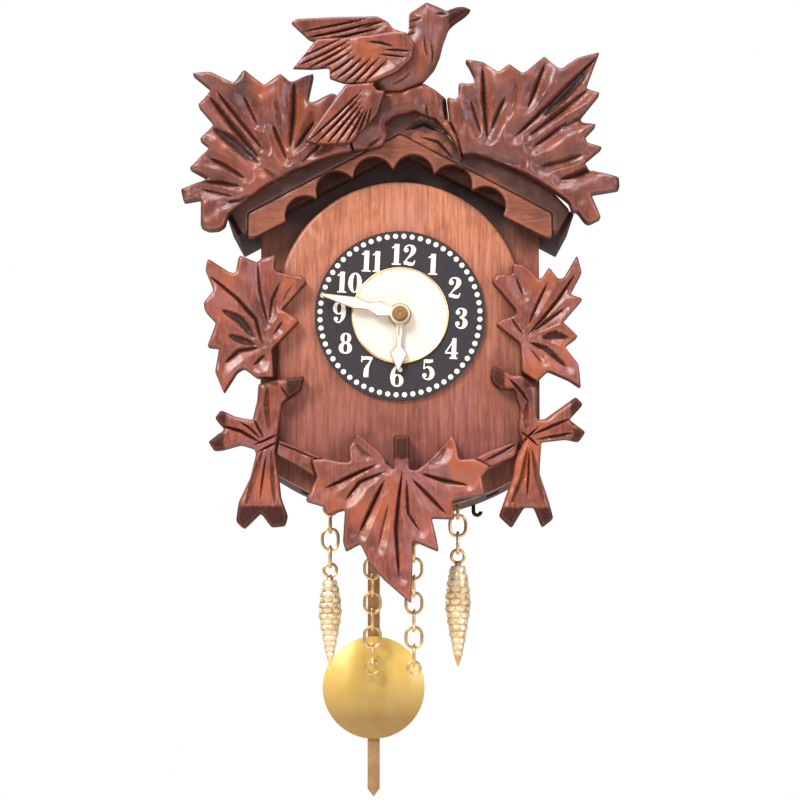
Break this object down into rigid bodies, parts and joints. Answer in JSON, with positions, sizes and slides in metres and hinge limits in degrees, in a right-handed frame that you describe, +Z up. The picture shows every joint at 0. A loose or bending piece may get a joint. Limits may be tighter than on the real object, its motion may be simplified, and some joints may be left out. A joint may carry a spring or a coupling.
{
  "type": "carved wall clock",
  "caption": "Miniature carved wooden wall clock in the cuckoo style, with a bird and leaves, a black dial, a short pendulum, and chains with cone weights.",
  "frame": {"origin": "centre of the hanger hole in the wall plane, at the top of the case's back", "axes": "+Z up, +X to the viewer's right, and the front faces -Y, so +Y points into the wall"},
  "size_m": [0.1091, 0.051, 0.1978],
  "materials": {
    "carved_walnut": "satin stained and lacquered walnut, carved",
    "panel_wood": "satin lacquered, lighter upright grain",
    "case_wood": "satin dark stain",
    "dial_black": "matte",
    "dial_print": "matte print",
    "pale_gold": "pale satin",
    "brass": "satin",
    "cone_gold": "pale, cast",
    "steel": "ground",
    "black_wire": "semi-gloss"
  },
  "bodies": {
    "root": {"face_board": "case_wood", "arch_panel": "panel_wood", "side_wall_left": "case_wood", "side_wall_right": "case_wood", "bottom_board": "case_wood", "back_gable": "case_wood", "hanger_plate": "brass", "wood_screws": "brass", "roof_left": "case_wood", "roof_right": "case_wood", "gable_fascia": "carved_walnut", "crown_board": "case_wood", "crown_leaf_left": "carved_walnut", "crown_leaf_right": "carved_walnut", "crown_crest": "carved_walnut", "bird_body": "carved_walnut", "bird_near_wing": "carved_walnut", "bird_far_wing": "carved_walnut", "bird_tail": "carved_walnut", "side_leaf_left": "carved_walnut", "side_leaf_right": "carved_walnut", "twig_left": "carved_walnut", "twig_right": "carved_walnut", "garland_left": "carved_walnut", "garland_right": "carved_walnut", "bottom_leaf": "carved_walnut", "dial": "dial_black", "dial_center": "pale_gold", "front_plate": "brass", "rear_plate": "brass", "pillars": "brass", "pillar_nuts": "steel", "chain_hooks": "brass"},
    "minute_set": {"minute_hand": "pale_gold", "hand_nut": "brass", "cannon_pinion": "brass"},
    "hour_set": {"hour_hand": "pale_gold", "hour_wheel": "brass"},
    "motion_wheel": {"minute_wheel": "brass"},
    "escape_set": {"escape_wheel": "brass"},
    "third_set": {"third_wheel": "brass"},
    "center_set": {"center_wheel": "brass"},
    "barrel_set": {"spring_barrel": "brass", "mainspring": "steel"},
    "key_set": {"barrel_arbor": "steel", "ratchet_wheel": "steel", "winding_key": "brass"},
    "click_set": {"click": "steel"},
    "verge_set": {"verge": "steel", "crutch": "steel"},
    "pendulum": {"pendulum_rod": "brass"},
    "bob": {"pendulum_bob": "brass"},
    "left_weight_chain": {"weight_chain_left": "brass"},
    "left_weight": {"weight_left": "cone_gold"},
    "right_weight_chain": {"weight_chain_right": "brass"},
    "right_weight": {"weight_right": "cone_gold"},
    "left_free_chain": {"free_chain_left": "brass"},
    "right_free_chain": {"free_chain_right": "brass"},
    "back_door_set": {"back_door": "case_wood", "door_pins": "steel"},
    "door_hook_set": {"door_hook": "black_wire"}
  },
  "joints": [
    {"name": "minute_turn", "type": "hinge", "parent": "root", "child": "minute_set", "pos_m": [0, -0.04, -0.019], "axis": [0, 1, 0], "continuous": true},
    {"name": "hour_turn", "type": "hinge", "parent": "root", "child": "hour_set", "pos_m": [0, -0.039, -0.019], "axis": [0, 1, 0], "continuous": true},
    {"name": "minute_wheel_turn", "type": "hinge", "parent": "root", "child": "motion_wheel", "pos_m": [-0.0059, -0.027, -0.02313], "axis": [0, 1, 0], "continuous": true},
    {"name": "escape_turn", "type": "hinge", "parent": "root", "child": "escape_set", "pos_m": [-0.00671, -0.017, -0.00924], "axis": [0, 1, 0], "continuous": true},
    {"name": "third_turn", "type": "hinge", "parent": "root", "child": "third_set", "pos_m": [0.00373, -0.019, -0.00791], "axis": [0, 1, 0], "continuous": true},
    {"name": "center_turn", "type": "hinge", "parent": "root", "child": "center_set", "pos_m": [0, -0.0145, -0.019], "axis": [0, 1, 0], "continuous": true},
    {"name": "barrel_turn", "type": "hinge", "parent": "root", "child": "barrel_set", "pos_m": [0.00799, -0.02, -0.03257], "axis": [0, 1, 0], "continuous": true},
    {"name": "key_turn", "type": "hinge", "parent": "root", "child": "key_set", "pos_m": [0.00799, -0.005, -0.03257], "axis": [0, 1, 0], "continuous": true},
    {"name": "click_lift", "type": "hinge", "parent": "root", "child": "click_set", "pos_m": [0.01458, -0.0114, -0.02877], "axis": [0, 1, 0], "range_deg": [0, 12]},
    {"name": "pendulum_swing", "type": "hinge", "parent": "root", "child": "pendulum", "pos_m": [-0.00671, -0.01, -0.00024], "axis": [0, 1, 0], "range_deg": [-6, 6]},
    {"name": "verge_swing", "type": "hinge", "parent": "root", "child": "verge_set", "pos_m": [-0.00671, -0.014, -0.00024], "axis": [0, 1, 0], "range_deg": [-6, 6]},
    {"name": "bob_slide", "type": "slide", "parent": "pendulum", "child": "bob", "axis": [0, 0, 1], "range_m": [-0.008, 0.01]},
    {"name": "left_weight_chain_swing", "type": "hinge", "parent": "root", "child": "left_weight_chain", "pos_m": [-0.0175, -0.0283, -0.0668], "axis": [0, 1, 0], "range_deg": [-8, 8]},
    {"name": "right_weight_chain_swing", "type": "hinge", "parent": "root", "child": "right_weight_chain", "pos_m": [0.0145, -0.0283, -0.06928], "axis": [0, 1, 0], "range_deg": [-8, 8]},
    {"name": "left_free_chain_swing", "type": "hinge", "parent": "root", "child": "left_free_chain", "pos_m": [-0.007, -0.017, -0.07072], "axis": [0, 1, 0], "range_deg": [-8, 8]},
    {"name": "right_free_chain_swing", "type": "hinge", "parent": "root", "child": "right_free_chain", "pos_m": [0.0035, -0.0222, -0.07104], "axis": [0, 1, 0], "range_deg": [-8, 8]},
    {"name": "left_weight_swing", "type": "hinge", "parent": "left_weight_chain", "child": "left_weight", "pos_m": [-0.0175, -0.0283, -0.08145], "axis": [0, 1, 0], "range_deg": [-12, 12]},
    {"name": "right_weight_swing", "type": "hinge", "parent": "right_weight_chain", "child": "right_weight", "pos_m": [0.0145, -0.0283, -0.07798], "axis": [0, 1, 0], "range_deg": [-12, 12]},
    {"name": "back_door_open", "type": "hinge", "parent": "root", "child": "back_door_set", "pos_m": [-0.0297, -0.006, -0.03], "axis": [0, 0, 1], "range_deg": [0, 90]},
    {"name": "door_hook_turn", "type": "hinge", "parent": "root", "child": "door_hook_set", "pos_m": [0.019, -0.0043, -0.06211], "axis": [0, 1, 0], "range_deg": [0, 95]}
  ],
  "couplings": [
    {"joint": "hour_turn", "follows": "minute_turn", "ratio": 0.083333},
    {"joint": "minute_wheel_turn", "follows": "minute_turn", "ratio": -0.33333},
    {"joint": "third_turn", "follows": "escape_turn", "ratio": -0.08},
    {"joint": "center_turn", "follows": "escape_turn", "ratio": 0.0066667},
    {"joint": "barrel_turn", "follows": "escape_turn", "ratio": -0.0011111},
    {"joint": "verge_swing", "follows": "pendulum_swing", "ratio": 1}
  ]
}
